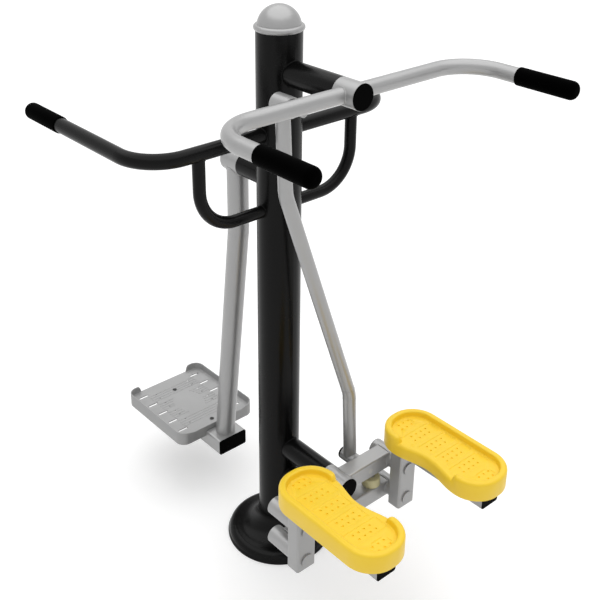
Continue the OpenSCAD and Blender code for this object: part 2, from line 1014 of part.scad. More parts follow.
function smooth(t) = t <= 0 ? 0 : t >= 1 ? 1 : t * t * (3 - 2 * t);
function dent(u) = abs(u) >= dent_half ? 0 : dent_depth * (1 + cos(180 * u / dent_half)) / 2;
function dent_slope(u) =
    abs(u) >= dent_half ? 0 : -dent_depth * sin(180 * u / dent_half) * PI / dent_half / 2;
function rim_share(u) = smooth((abs(u) - dent_half + 12) / 16);
function corner_station(su, sv, a) = [
    su * corner_u + pedal_corner * cos(a),
    sv * corner_v + pedal_corner * sin(a),
    -cos(a),
    -sin(a),
    1
];
function dent_station(u) =
    let (m = dent_slope(u), n = sqrt(1 + m * m))
    [u, pedal_w / 2 - dent(u), -m / n, -1 / n, rim_share(u)];
function corner_arc(su, sv, from) =
    [for (i = [0 : arc_steps]) corner_station(su, sv, from + 90 * i / arc_steps)];

STATIONS = [
    each corner_arc(-1, -1, 180),
    each corner_arc(1, -1, 270),
    each corner_arc(1, 1, 0),
    for (i = [1 : side_steps - 1]) dent_station(corner_u * (1 - 2 * i / side_steps)),
    each corner_arc(-1, 1, 90)
];

// The skin's section: distance inwards, height above the tread, share of the
// rim's height, and share of the height of the whole shell below the tread
tread_wall = 5;
SECTION = [
    [5, -tread_wall, 0, 0],
    [5, skirt_gap, 0, -1],
    [2, skirt_gap, 0, -1],
    [0, skirt_gap + 2, 0, -1],
    [0, -8, 1, 0],
    [1.2, -4, 1, 0],
    [4.2, -1, 1, 0],
    [8, 0, 1, 0],
    [rim_w * 0.52, 0, 1, 0],
    [rim_w * 0.74, 0, 0.86, 0],
    [rim_w * 0.88, 0, 0.55, 0],
    [rim_w * 0.98, 0, 0.2, 0],
    [rim_w * 1.2, 0, 0, 0]
];

function skin_point(s, c) = [
    s[0] + s[2] * c[0],
    s[1] + s[3] * c[0],
    c[1] + s[4] * c[2] * rim_h + c[3] * tread_h
];

module pedal_skin() {
    n = len(STATIONS);
    m = len(SECTION);
    polyhedron(
        points = [for (c = SECTION) for (s = STATIONS) skin_point(s, c)],
        faces = [
            [for (i = [0 : n - 1]) i],
            for (k = [0 : m - 2])
                for (i = [0 : n - 1])
                    let (j = (i + 1) % n)
                    each [
                        [k * n + i, (k + 1) * n + i, (k + 1) * n + j],
                        [k * n + i, (k + 1) * n + j, k * n + j]
                    ],
            [for (i = [n - 1 : -1 : 0]) (m - 1) * n + i]
        ]
    );
}

// Round-ended raised band across the tread
module tread_band(u) {
    outer = -pedal_w / 2 + rim_w * 1.2 + 10;
    inner = pedal_w / 2 - max(dent(u), rim_w * 1.2) - 10;
    hull()
        for (v = [outer, inner])
            translate([u, v, -cut])
                cylinder(h = cut + 1.2, r1 = band_w / 2, r2 = band_w / 2 - 1, $fn = 16);
}

// Rib under the tread between two points
module under_rib(a, b)
    hull()
        for (p = [a, b])
            translate([p[0], p[1], -tread_h])
                cylinder(h = tread_h - tread_wall + cut, r = 2, $fn = 8);

module pedal_body() {
    rib_v = leg_w / 2 - 3;
    rib_u = pedal_len / 2 - 12;
    cross_v = pedal_w / 2 - 5;
    bolt_u = pedal_bolt_pitch / 2;
    difference() {
        union() {
            pedal_skin();
            for (i = [1 : band_count])
                tread_band((i / (band_count + 1) - 0.5) * (pedal_len - 30));
            for (v = [-rib_v, rib_v])
                under_rib([-rib_u, v], [rib_u, v]);
            for (u = [-bolt_u, 0, bolt_u])
                under_rib([u, -cross_v], [u, cross_v - dent(u)]);
            for (u = [-bolt_u, bolt_u])
                translate([u, 0, -tread_h])
                    cylinder(h = tread_h - tread_wall + cut, r = 10, $fn = 24);
        }
        for (u = [-bolt_u, bolt_u])
            translate([u, 0, -tread_h - cut])
                cylinder(h = pedal_bolt_reach + 2 * cut, r = pedal_bolt_d / 2 + 0.3, $fn = 24);
    }
}

module pedal()
    color(yellow)
        translate([pedal_x, leg_y, pedal_seat_z + tread_h])
            mirror([0, 1, 0])
                pedal_body();

// Link: bent in one upright plane through both pivots. Its corners are a level
// distance in that plane, counted from the lower pivot, and a height.
link_r = link_d / 2;
link_wall = 2.5;
link_bend_r = 120;
link_span = norm([link_low[0] - link_top[0], link_low[1] - link_top[1]]);
link_turn = atan2(link_low[0] - link_top[0], link_low[1] - link_top[1]);
LINK_A = [0, link_low[2]];
LINK_B = [-link_low_bend_off, link_low_bend_z];
LINK_C = [link_top_bend_off - link_span, link_top_bend_z];
LINK_D = [-link_span, link_top[2]];

function lean(a, b) = atan2(b[0] - a[0], b[1] - a[1]);
lean_low = lean(LINK_A, LINK_B);
lean_mid = lean(LINK_B, LINK_C);
lean_top = lean(LINK_C, LINK_D);
bend_low = abs(lean_mid - lean_low);
bend_top = abs(lean_top - lean_mid);
set_low = link_bend_r * tan(bend_low / 2);
set_top = link_bend_r * tan(bend_top / 2);

// Straight run along +Z with a seam where the bend begins
module link_run(h) {
    linear_extrude(h)
        ring_section(link_r, link_wall);
    seam(link_r, link_wall);
    translate([0, 0, h])
        seam(link_r, link_wall);
}

// Bend that leaves the origin along +Z and turns towards +Y
module link_arc(angle)
    translate([0, link_bend_r, 0])
        rotate([90, 0, -90])
            rotate_extrude(angle = angle)
                translate([link_bend_r, 0])
                    ring_section(link_r, link_wall);

// Moves a child from the bend's start to its end
module past_bend(angle)
    translate([0, link_bend_r, 0])
        rotate([-angle, 0, 0])
            translate([0, -link_bend_r, 0])
                children();

// Cylinder along X that makes room for the sleeve at a pivot
module sleeve_seat(at, r)
    rod_x(at[0] - 3 * link_r, at[0] + 3 * link_r, r, at[1], at[2]);

module link_rod() {
    low_h = norm(LINK_B - LINK_A) - set_low;
    mid_h = norm(LINK_C - LINK_B) - set_low - set_top;
    top_h = norm(LINK_D - LINK_C) - set_top;
    color(silver)
        difference() {
            translate(link_low)
                rotate([-lean_low, 0, -link_turn])
                    mirror([0, 1, 0]) {
                        link_run(low_h);
                        translate([0, 0, low_h]) {
                            link_arc(bend_low);
                            past_bend(bend_low)
                                mirror([0, 1, 0]) {
                                    link_run(mid_h);
                                    translate([0, 0, mid_h]) {
                                        link_arc(bend_top);
                                        past_bend(bend_top)
                                            link_run(top_h);
                                    }
                                }
                        }
                    }
            sleeve_seat(link_low, link_low_r + weld_gap);
            sleeve_seat(link_top, link_top_r + weld_gap);
        }
}

module link_sleeves()
    color(silver) {
        pipe_x(
            link_low_from - link_low_len,
            link_low_from,
            link_low_r,
            link_low_bore_r,
            link_low[1],
            link_low[2]
        );
        pipe_x(
            link_top_from - link_top_len,
            link_top_from,
            link_top_r,
            link_top_bore_r,
            link_top[1],
            link_top[2]
        );
    }

module link_bushes()
    color(nylon)
        for (z = [side_gap, link_low_nut_z - link_bush_len - side_gap])
            translate([link_low_from, link_low[1], link_low[2]])
                rotate([0, -90, 0])
                    pipe(z, z + link_bush_len, link_low_bore_r - seat_gap, link_low_pin_d / 2 + run_gap);

module link_cap(from, at, len, r, bore_r)
    translate([from, at[1], at[2]])
        rotate([0, -90, 0])
            end_cap(len, link_cap_t, r - 0.4, bore_r - seat_gap, link_cap_plug, 2);

module link_caps()
    color(jet) {
        link_cap(link_low_from, link_low, link_low_len, link_low_r, link_low_bore_r);
        link_cap(link_top_from, link_top, link_top_len, link_top_r, link_top_bore_r);
    }

// Pendulum

pendulum_r = pendulum_d / 2;
pendulum_wall = 3;
pendulum_bend_r = 160;
pendulum_set = pendulum_bend_r * tan(pendulum_slope / 2);

module pendulum_hub()
    color(silver)
        hub(PENDULUM_PIVOT);

module pendulum_bearings()
    color(steel)
        bearing_pair(PENDULUM_PIVOT);

module pendulum_hub_cap()
    color(jet)
        hub_cap(PENDULUM_PIVOT);

// Straight from the hub, one gentle bend outwards and down to the foot tube
module pendulum_tube() {
    low_len = (pendulum_bend_z - foot_tube_top) / cos(pendulum_slope) + pendulum_r;
    color(silver)
        difference() {
            translate([pendulum_x, 0, 0]) {
                translate([0, 0, pendulum_bend_z + pendulum_set])
                    linear_extrude(pendulum_z - pendulum_bend_z - pendulum_set)
                        ring_section(pendulum_r, pendulum_wall);
                translate([0, 0, pendulum_bend_z + pendulum_set])
                    seam(pendulum_r, pendulum_wall);
                translate([-pendulum_bend_r, 0, pendulum_bend_z + pendulum_set])
                    rotate([-90, 0, 0])
                        rotate_extrude(angle = pendulum_slope)
                            translate([pendulum_bend_r, 0])
                                ring_section(pendulum_r, pendulum_wall);
                translate([0, 0, pendulum_bend_z])
                    rotate([0, 180 + pendulum_slope, 0])
                        translate([0, 0, pendulum_set]) {
                            linear_extrude(low_len)
                                ring_section(pendulum_r, pendulum_wall);
                            seam(pendulum_r, pendulum_wall);
                        }
            }
            hub_cutter(PENDULUM_PIVOT);
            translate([-2 * plate_far, -plate_w, -plate_w])
                cube([2 * plate_far, 2 * plate_w, plate_w + foot_tube_top + weld_gap]);
        }
}

foot_cap_t = 2.5;
foot_tube_far = plate_far - plate_wall - foot_cap_t - seat_gap;
foot_bolt_x = [-plate_far + 65, -plate_far + plate_len - 22];
foot_bolt_d = 8;

module foot_tube()
    color(silver)
        difference() {
            translate([-foot_tube_far, 0, foot_tube_top - foot_tube_h / 2])
                rotate([90, 0, 90])
                    linear_extrude(foot_tube_far - foot_tube_near - foot_cap_t)
                        box_section(foot_tube_w, foot_tube_h);
            for (x = foot_bolt_x)
                translate([x, 0, foot_tube_top - 2 * box_wall])
                    cylinder(h = 3 * box_wall, r = foot_bolt_d / 2 + seat_gap);
        }

module foot_tube_caps() {
    plug_h = 10;
    color(jet)
        for (s = [-1, 1])
            translate([
                s < 0 ? -foot_tube_far : -foot_tube_near - foot_cap_t,
                0,
                foot_tube_top - foot_tube_h / 2
            ])
                rotate([90, 0, s * 90]) {
                    linear_extrude(foot_cap_t)
                        round_rect(foot_tube_w - 0.6, foot_tube_h - 0.6, box_corner);
                    translate([0, 0, -plug_h])
                        linear_extrude(plug_h)
                            round_rect(
                                foot_tube_w - 2 * box_wall - 2 * seat_gap,
                                foot_tube_h - 2 * box_wall - 2 * seat_gap,
                                box_corner - box_wall
                            );
                }
}

// Foot plate: a cast tray with slots, ribs, rows of drain holes and two side walls
plate_x = -plate_far + plate_len / 2;
plate_z = foot_tube_top + seat_gap;
slot_len = 24;
slot_w = 4.5;
slot_y = 100;
hole_y = 63;
hole_d = 5;
hole_count = 8;
rib_h = 1.2;
rib_pitch = 11;
rib_w = 4;
rib_len = plate_w - 2 * plate_corner - 50;

module plate_outline(inset)
    round_rect(plate_len - 2 * inset, plate_w - 2 * inset, plate_corner - inset);

module plate_slot()
    linear_extrude(4 * plate_t, center = true) {
        square([slot_w, slot_len - slot_w], center = true);
        for (s = [-1, 1])
            translate([0, s * (slot_len - slot_w) / 2])
                circle(slot_w / 2);
    }

module foot_plate() {
    lip_gap = plate_w - 2 * plate_corner - 40;
    color(grey)
        translate([plate_x, 0, plate_z])
            difference() {
                union() {
                    linear_extrude(plate_t)
                        plate_outline(0);
                    translate([0, 0, -plate_skirt])
                        linear_extrude(plate_skirt + cut)
                            difference() {
                                plate_outline(0);
                                plate_outline(plate_wall);
                            }
                    translate([0, 0, plate_t - cut])
                        linear_extrude(plate_lip + cut)
                            difference() {
                                plate_outline(0);
                                plate_outline(plate_wall);
                                square([plate_len + 2 * cut, lip_gap], center = true);
                            }
                    for (i = [-11 : 11])
                        if (abs(i % 5) != 0)
                            translate([i * rib_pitch, 0, plate_t - cut])
                                linear_extrude(rib_h + cut)
                                    square([rib_w, rib_len], center = true);
                }
                for (i = [0 : slot_count - 1], s = [-1, 1])
                    translate([(i - (slot_count - 1) / 2) * slot_pitch, s * slot_y, 0])
                        plate_slot();
                for (i = [0 : hole_count - 1], s = [-1, 1])
                    translate([(i - (hole_count - 1) / 2) * slot_pitch / 2, s * hole_y, -cut])
                        cylinder(h = plate_t + 3 * cut, r = hole_d / 2);
                for (x = foot_bolt_x)
                    translate([x - plate_x, 0, -cut])
                        cylinder(h = plate_t + 3 * cut, r = foot_bolt_d / 2 + seat_gap);
                translate([0, -foot_tube_w / 2 - seat_gap, -plate_skirt - cut])
                    cube([plate_len, foot_tube_w + 2 * seat_gap, plate_skirt + cut]);
            }
}

module foot_plate_bolts()
    color(zinc)
        for (x = foot_bolt_x)
            translate([x, 0, plate_z + plate_t + rib_h]) {
                rotate_extrude()
                    intersection() {
                        translate([0, -foot_bolt_d])
                            circle(foot_bolt_d * 1.3);
                        square([foot_bolt_d, foot_bolt_d]);
                    }
                translate([0, 0, -plate_t - rib_h - box_wall - 10])
                    cylinder(h = plate_t + rib_h + box_wall + 10 + cut / 2, r = foot_bolt_d / 2);
            }

module left()
    mirror([0, 1, 0])
        children();

post();
post_cap();
base_plate();
base_cover();
handlebar_arm();
rocker_arms();
pendulum_arm();
arm_end_plugs();
pivot_axles();
axle_spacers();
axle_nuts();
surf_bars();
surf_grips();
brace_loops();
handlebar_hub();
handlebars();
handlebar_grips();
handlebar_bearings();
handlebar_hub_cap();
link_lug();
link_top_pin();
upper_beam_hub();
upper_beam_tubes();
upper_beam_sleeves();
upper_beam_bearings();
upper_beam_bushes();
upper_beam_caps();
link_low_pin();
lower_beam_hub();
lower_beam_tubes();
lower_beam_sleeves();
lower_beam_bearings();
lower_beam_bushes();
lower_beam_caps();
rubber_buffers();
buffer_bolts();
left() leg();  // leg_left
left() pedal();  // pedal_left
left() leg_pins();  // leg_pins_left
left() pedal_bolts();  // pedal_bolts_left
left() pedal_arm_caps();  // pedal_arm_caps_left
leg();  // leg_right
pedal();  // pedal_right
leg_pins();  // leg_pins_right
pedal_bolts();  // pedal_bolts_right
pedal_arm_caps();  // pedal_arm_caps_right
link_rod();
link_sleeves();
link_bushes();
link_caps();
pendulum_hub();
pendulum_tube();
pendulum_bearings();
pendulum_hub_cap();
foot_tube();
foot_tube_caps();
foot_plate();
foot_plate_bolts();
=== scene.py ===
import math

import bmesh
import bpy
from mathutils import Matrix, Vector


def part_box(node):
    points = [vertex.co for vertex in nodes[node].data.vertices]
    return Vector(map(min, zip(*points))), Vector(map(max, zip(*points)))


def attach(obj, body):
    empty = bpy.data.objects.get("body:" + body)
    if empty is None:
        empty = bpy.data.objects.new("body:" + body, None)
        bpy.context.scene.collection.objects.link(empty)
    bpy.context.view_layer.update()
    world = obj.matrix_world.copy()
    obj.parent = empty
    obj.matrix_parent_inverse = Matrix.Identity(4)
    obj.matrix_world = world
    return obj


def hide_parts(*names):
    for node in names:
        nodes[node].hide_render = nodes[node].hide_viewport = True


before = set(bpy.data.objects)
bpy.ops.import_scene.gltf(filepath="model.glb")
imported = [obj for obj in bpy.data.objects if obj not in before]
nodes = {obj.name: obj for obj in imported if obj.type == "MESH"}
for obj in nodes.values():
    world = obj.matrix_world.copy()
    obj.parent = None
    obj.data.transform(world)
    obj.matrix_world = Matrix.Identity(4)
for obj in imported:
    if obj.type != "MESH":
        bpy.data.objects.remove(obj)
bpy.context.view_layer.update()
MM = 0.001


# Base plate and post
# A flame-cut steel plate with four gussets and a round tube of 114.3 mm welded upright on
# it. Both are blasted, and the near-black polyester powder bakes to a satin skin on them.

def linear(colour):
    """Linear colour, with alpha, of an sRGB hex value."""
    channels = [int(colour[i:i + 2], 16) / 255 for i in (1, 3, 5)]
    return [c / 12.92 if c <= 0.04045 else ((c + 0.055) / 1.055) ** 2.4 for c in channels] + [1]


def add(material, kind, settings=None, links=None):
    """Add a shader node, set its properties and inputs, and link its inputs to outputs."""
    node = material.node_tree.nodes.new(kind)
    for key, value in (settings or {}).items():
        if isinstance(key, int) or key in node.inputs:
            node.inputs[key].default_value = value
        else:
            setattr(node, key, value)
    for key, output in (links or {}).items():
        material.node_tree.links.new(output, node.inputs[key])
    return node


def blank(name):
    """A material with an empty node tree, and the place on the piece that its patterns read."""
    material = bpy.data.materials.new(name)
    material.use_nodes = True
    material.node_tree.nodes.clear()
    return material, add(material, "ShaderNodeTexCoord").outputs["Object"]


def shade(material, settings, links):
    """Close a material with a Principled shader."""
    shader = add(material, "ShaderNodeBsdfPrincipled", settings, links)
    add(material, "ShaderNodeOutputMaterial", links={"Surface": shader.outputs["BSDF"]})
    return material


def powder_coat(name, colour, thin_colour, roughness, settings):
    """Baked powder: a soft sheen that wanders with the film's thickness over a fine orange
    peel. The real peel is 1 mm wide and is drawn at 3 mm, so that it shows."""
    coat, place = blank(name)
    cloud_mm, peel_mm, peel_height, swing = 90, 3, 0.3, 0.05
    cloud = add(coat, "ShaderNodeTexNoise", {"Scale": 1 / (cloud_mm * MM), "Detail": 2},
                {"Vector": place})
    peel = add(coat, "ShaderNodeTexNoise", {"Scale": 1 / (peel_mm * MM), "Detail": 1},
               {"Vector": place})
    tone = add(coat, "ShaderNodeMix",
               {"data_type": "RGBA", 6: linear(thin_colour), 7: linear(colour)},
               {0: cloud.outputs["Fac"]})
    gloss = add(coat, "ShaderNodeMapRange",
                {"To Min": roughness - swing, "To Max": roughness + swing},
                {"Value": cloud.outputs["Fac"]})
    bump = add(coat, "ShaderNodeBump", {"Strength": 0.06, "Distance": peel_height * MM},
               {"Height": peel.outputs["Fac"]})
    return shade(coat, settings, {"Base Color": tone.outputs[2], "Roughness": gloss.outputs[0],
                                  "Normal": bump.outputs["Normal"]})


def finish(material, *names):
    """Give CAD nodes a material in place of the plain one that they come with."""
    for name in names:
        nodes[name].data.materials.clear()
        nodes[name].data.materials.append(material)


# Thin dark film over blasted steel: the eye gets a deep black with a soft, narrow sheen.
black_coat = powder_coat("black_satin_powder_coat", "#0C0C0C", "#080808", 0.26, {"IOR": 1.21})
finish(black_coat, "base_plate", "post")


# Post cap
# A domed cap with a rolled bead, pressed over the post's open end to keep the rain out. It
# is coated in the same silver grey as the moving tubes.

# Aluminium flakes in the powder: a pale grey that is a little brighter where it faces a light.
silver_coat = powder_coat("silver_grey_powder_coat", "#A6A6A6", "#A0A0A0", 0.34,
                          {"Metallic": 0.45})
finish(silver_coat, "post_cap")


# Base cover
# A bell of spun sheet steel that slides down the post over the anchor bolts. Its brim is
# turned over to a flat lip, and it is coated with the post.

def turned(outline, steps=96):
    """A mesh turned about Z from an outline of (radius, height) in millimetres. An outline
    that leaves the axis and comes back to it stays open there, and any other is closed."""
    mesh = bmesh.new()
    line = [mesh.verts.new((radius * MM, 0, height * MM)) for radius, height in outline]
    ends = list(zip(line, line[1:]))
    if outline[0][0] > 0:
        ends.append((line[-1], line[0]))
    edges = [mesh.edges.new(pair) for pair in ends]
    bmesh.ops.spin(mesh, geom=line + edges, cent=(0, 0, 0), axis=(0, 0, 1), angle=math.tau,
                   steps=steps, use_merge=True)
    bmesh.ops.remove_doubles(mesh, verts=mesh.verts, dist=1e-6)
    bmesh.ops.recalc_face_normals(mesh, faces=mesh.faces)
    return mesh


def arc(centre, radius, start, end, steps=8):
    """Points of an arc, from the start angle to the end angle in degrees."""
    angles = [math.radians(start + (end - start) * i / steps) for i in range(steps + 1)]
    return [(centre[0] + radius * math.cos(a), centre[1] + radius * math.sin(a)) for a in angles]


def piece(name, mesh, material, body, stands_for=(), sharp=35):
    """Shade a finished mesh smooth up to its sharp edges and put it on its body."""
    for face in mesh.faces:
        face.smooth = True
    for edge in mesh.edges:
        if len(edge.link_faces) == 2:
            edge.smooth = edge.calc_face_angle() < math.radians(sharp)
    made = bpy.data.objects.new(name, bpy.data.meshes.new(name))
    mesh.to_mesh(made.data)
    mesh.free()
    made.data.materials.append(material)
    bpy.context.scene.collection.objects.link(made)
    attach(made, body)
    if stands_for:
        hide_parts(*stands_for)


cover_rim, cover_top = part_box("base_cover")[1][0] / MM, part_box("base_cover")[1][2] / MM
post_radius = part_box("post")[1][0] / MM
lip, step, wall, rounding, fit = 5, 3.4, 3, 1, 0.1
shoulder, flare, neck = 20.4, 60, post_radius + 2.85
mouth = neck - 0.6
shoulder_at = (cover_rim - step - shoulder, cover_top - flare - shoulder)
flare_at = (neck + flare, cover_top)
bell = [
    (cover_rim, 0), (cover_rim, lip - rounding), (cover_rim - rounding, lip),
    *arc(shoulder_at, shoulder, 0, 90, 12),
    *arc(flare_at, flare, 270, 186, 16), (mouth + rounding, cover_top - rounding),
    (mouth, cover_top), (post_radius + fit, cover_top), (post_radius + fit, cover_top - wall),
    *arc(flare_at, flare + wall, 186, 270, 16),
    *arc(shoulder_at, shoulder - wall, 90, 0, 12), (cover_rim - step - wall, 0)
]
piece("spun_base_cover", turned(bell, 128), black_coat, "frame",
      ["base_cover"])


# Stub arms
# Four short round tubes, coped to the post and welded all round, carry the pivots. The
# welds are left as laid, and the powder covers them.

bead_radius, ripple, ripple_points, swell, off_tube, off_carrier = 1.6, 15, 3, 0.14, 0.6, 0.4


def beads(name, material, body, paths):
    """Fillet welds along closed paths. The real ripple is 2 mm long and is drawn at 15 mm."""
    run = bmesh.new()
    for path in paths:
        bead = bpy.data.curves.new(name, "CURVE")
        bead.dimensions = "3D"
        bead.bevel_depth = bead_radius * MM
        bead.bevel_resolution = 1
        strip = bead.splines.new("POLY")
        strip.points.add(len(path) - 1)
        strip.use_cyclic_u = True
        for i, (point, place) in enumerate(zip(strip.points, path)):
            point.co = (*(Vector(place) * MM), 1)
            point.radius = 1 + swell * (i % ripple_points - 1)
        rod = bpy.data.objects.new(name, bead)
        run.from_mesh(bpy.data.meshes.new_from_object(rod))
        bpy.data.objects.remove(rod)
    piece(name, run, material, body, sharp=80)


def saddle(centre, along, axis, radius, carrier):
    """Path where a round tube that runs along one direction meets a round carrier."""
    along, axis = Vector(along), Vector(axis)
    side = along.cross(axis)
    radius += off_tube
    count = ripple_points * round(math.tau * radius / ripple)
    turns = [math.tau * i / count for i in range(count)]
    return [Vector(centre) + radius * (math.cos(a) * side + math.sin(a) * axis)
            + along * (math.sqrt(max(carrier ** 2 - (radius * math.cos(a)) ** 2, 0)) + off_carrier)
            for a in turns]


def middle(name):
    """Middle of a node's box in millimetres."""
    low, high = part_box(name)
    return (Vector(low) + Vector(high)) / 2 / MM


finish(black_coat, "handlebar_arm", "rocker_arms", "pendulum_arm")
arm_radius = 31.75
handlebar_z = middle("handlebar_arm")[2]
pendulum_z = middle("pendulum_arm")[2]
rocker_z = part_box("rocker_arms")[1][2] / MM - arm_radius
lower_rocker_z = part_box("rocker_arms")[0][2] / MM + arm_radius
beads("arm_welds", black_coat, "frame", [
    saddle((0, 0, z), (way, 0, 0), (0, 0, 1), arm_radius, post_radius)
    for way, z in ((1, handlebar_z), (1, rocker_z), (1, lower_rocker_z), (-1, pendulum_z))])


# Axles and bearings
# Turned steel axles welded into the arms' plugged ends, with sealed ball bearings, spacers
# and nuts. Zinc plating keeps the steel from rust behind the caps.

# Clear zinc over turned steel: bright and slightly warm, a little cloudy from the bath.
zinc = powder_coat("zinc_plated_steel", "#B9B8B2", "#A8A7A2", 0.32, {"Metallic": 0.95})
finish(zinc, "arm_end_plugs", "pivot_axles", "axle_spacers", "axle_nuts", "handlebar_bearings",
       "upper_beam_bearings", "lower_beam_bearings", "pendulum_bearings")


# Surf side's hand bar
# Two bent tubes welded to the post and braced on each side by a loop of thinner tube. All
# of it is coated black with the post.

finish(black_coat, "surf_bars", "brace_loops")
bar_radius, loop_radius = 19.05, 15.9
surf_bar_z = middle("surf_bars")[2]
loop_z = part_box("brace_loops")[0][2] / MM + loop_radius
loop_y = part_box("brace_loops")[1][1] / MM - loop_radius
beads("surf_bar_welds", black_coat, "frame", [
    path for side in (-1, 1) for path in (
        saddle((0, 0, surf_bar_z), (0, side, 0), (0, 0, 1), bar_radius, post_radius),
        saddle((0, 0, loop_z), (0, side, 0), (0, 0, 1), loop_radius, post_radius),
        saddle((0, side * loop_y, surf_bar_z), (0, 0, -1), (0, 1, 0), loop_radius, bar_radius))])


# Grips
# Sleeves of solid black rubber, pushed over the bars' ends and closed by a round tip. The
# moulded skin is plain and matt.

def moulded(name, colour, shadow, grain_mm, settings):
    """Moulded polymer: an even colour and the fine grain of a spark eroded mould. The real
    grain is a quarter of a millimetre wide, so it is drawn coarser to show."""
    plastic, place = blank(name)
    cloud_mm, grain_height = 60, 0.2
    cloud = add(plastic, "ShaderNodeTexNoise", {"Scale": 1 / (cloud_mm * MM), "Detail": 2},
                {"Vector": place})
    grain = add(plastic, "ShaderNodeTexNoise", {"Scale": 1 / (grain_mm * MM), "Detail": 2},
                {"Vector": place})
    tone = add(plastic, "ShaderNodeMix",
               {"data_type": "RGBA", 6: linear(shadow), 7: linear(colour)},
               {0: cloud.outputs["Fac"]})
    bump = add(plastic, "ShaderNodeBump", {"Strength": 0.1, "Distance": grain_height * MM},
               {"Height": grain.outputs["Fac"]})
    return shade(plastic, settings, {"Base Color": tone.outputs[2], "Normal": bump.outputs["Normal"]})


# Carbon black rubber swallows nearly all light: only a faint, wide sheen is left.
grip_rubber = moulded("black_grip_rubber", "#020202", "#010101", 2,
                      {"IOR": 1.04, "Roughness": 0.55})
grip_length, grip_radius, tip_round, tip_wall, mouth_round = 158, 22, 15, 10, 1.6
grip_bore = bar_radius + 0.05
grip_outline = [
    (0, grip_length - tip_wall), (grip_bore, grip_length - tip_wall), (grip_bore, 0),
    *arc((grip_radius - mouth_round, mouth_round), mouth_round, 270, 360, 4),
    *arc((grip_radius - tip_round, grip_length - tip_round), tip_round, 0, 90, 12),
    (0, grip_length)
]
for name, way, body in (("surf_grips", -1, "frame"), ("handlebar_grips", 1, "handlebar")):
    low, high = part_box(name)
    tip_x = (high if way > 0 else low)[0] / MM
    pair = bmesh.new()
    for y in (low[1] / MM + grip_radius, high[1] / MM - grip_radius):
        one = turned(grip_outline, 48)
        place = Matrix.Translation(Vector((tip_x - way * grip_length, y, middle(name)[2])) * MM)
        one.transform(place @ Matrix.Rotation(way * math.pi / 2, 4, "Y"))
        sleeve = bpy.data.meshes.new(name)
        one.to_mesh(sleeve)
        one.free()
        pair.from_mesh(sleeve)
        bpy.data.meshes.remove(sleeve)
    piece("rubber_" + name, pair, grip_rubber, body, [name])


# Rocking beams
# Each beam is a pivot hub with a square tube on both sides and a round sleeve at each end,
# welded together and coated silver grey. Nylon bushes and black caps are pressed in.

def square_path(x, y_of, z, side, corner=6, off_side=0.5, count=13):
    """Path round a square tube that runs along Y; y_of gives the seat's y at each height."""
    half = side / 2 + off_side
    corners = [(half, half), (half, -half), (-half, -half), (-half, half)]
    path = []
    for (ax, az), (bx, bz) in zip(corners, corners[1:] + corners[:1]):
        for i in range(count):
            t = (corner + (side - 2 * corner) * i / (count - 1)) / side
            px, pz = ax + (bx - ax) * t, az + (bz - az) * t
            path.append((x + px, y_of(pz), z + pz))
    return path


finish(silver_coat, "upper_beam_hub", "upper_beam_tubes", "upper_beam_sleeves",
       "lower_beam_hub", "lower_beam_tubes", "lower_beam_sleeves")
beam_x, beam_side, sleeve_radius = 245, 50, 25
leg_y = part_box("upper_beam_sleeves")[1][1] / MM - sleeve_radius


def hub_seat(height):
    """Where the tube meets the hub."""
    return math.sqrt(arm_radius ** 2 - min(abs(height), beam_side / 2) ** 2) + off_carrier


def sleeve_seat(height, full_seam=22.3):
    """Where the tube meets the sleeve; above the full seam the bead runs straight."""
    return leg_y - math.sqrt(sleeve_radius ** 2 - min(abs(height), full_seam) ** 2) - off_carrier


for body, z in (("upper_beam", rocker_z), ("lower_beam", lower_rocker_z)):
    beads(body + "_welds", silver_coat, body, [
        square_path(beam_x, lambda height, side=side, seat=seat: side * seat(height), z, beam_side)
        for side in (-1, 1) for seat in (hub_seat, sleeve_seat)])

# Polyethylene from a polished mould: as black as the rubber, with a slightly tighter sheen.
black_plastic = moulded("black_moulded_polyethylene", "#030303", "#020202", 1.5,
                        {"IOR": 1.06, "Roughness": 0.45})
finish(black_plastic, "upper_beam_caps", "lower_beam_caps")
# Natural nylon: milky white and half shiny.
nylon = moulded("natural_nylon", "#E2E1DA", "#D8D6CC", 2, {"IOR": 1.5, "Roughness": 0.4})
finish(nylon, "upper_beam_bushes", "lower_beam_bushes")


# Buffers
# Two cream rubber stops, drilled and counterbored, stand on the lower beam. A cap screw
# with a nut inside the tube holds each.

# Chalk-filled rubber: a warm, dull cream that is a little greyer in places.
buffer_rubber = moulded("cream_moulded_rubber", "#CFC9A0", "#C2BA8C", 2,
                        {"IOR": 1.5, "Roughness": 0.65})
finish(buffer_rubber, "rubber_buffers")
finish(zinc, "buffer_bolts")


# Legs and pedal arms
# Flat tube, cut and welded to an upside-down L: an upright leg with the pedal's arm across
# its top. Pins with round heads pass through the leg, and black caps close the arm.

finish(silver_coat, "leg_left", "leg_right", "leg_pins_left", "leg_pins_right")
finish(black_plastic, "pedal_arm_caps_left", "pedal_arm_caps_right")
finish(zinc, "pedal_bolts_left", "pedal_bolts_right")


# Pedals
# One injection moulding each, in yellow polypropylene: a tread with bands left between
# pitted fields, a round rim that is open along the dented inner side, and a ribbed skirt.

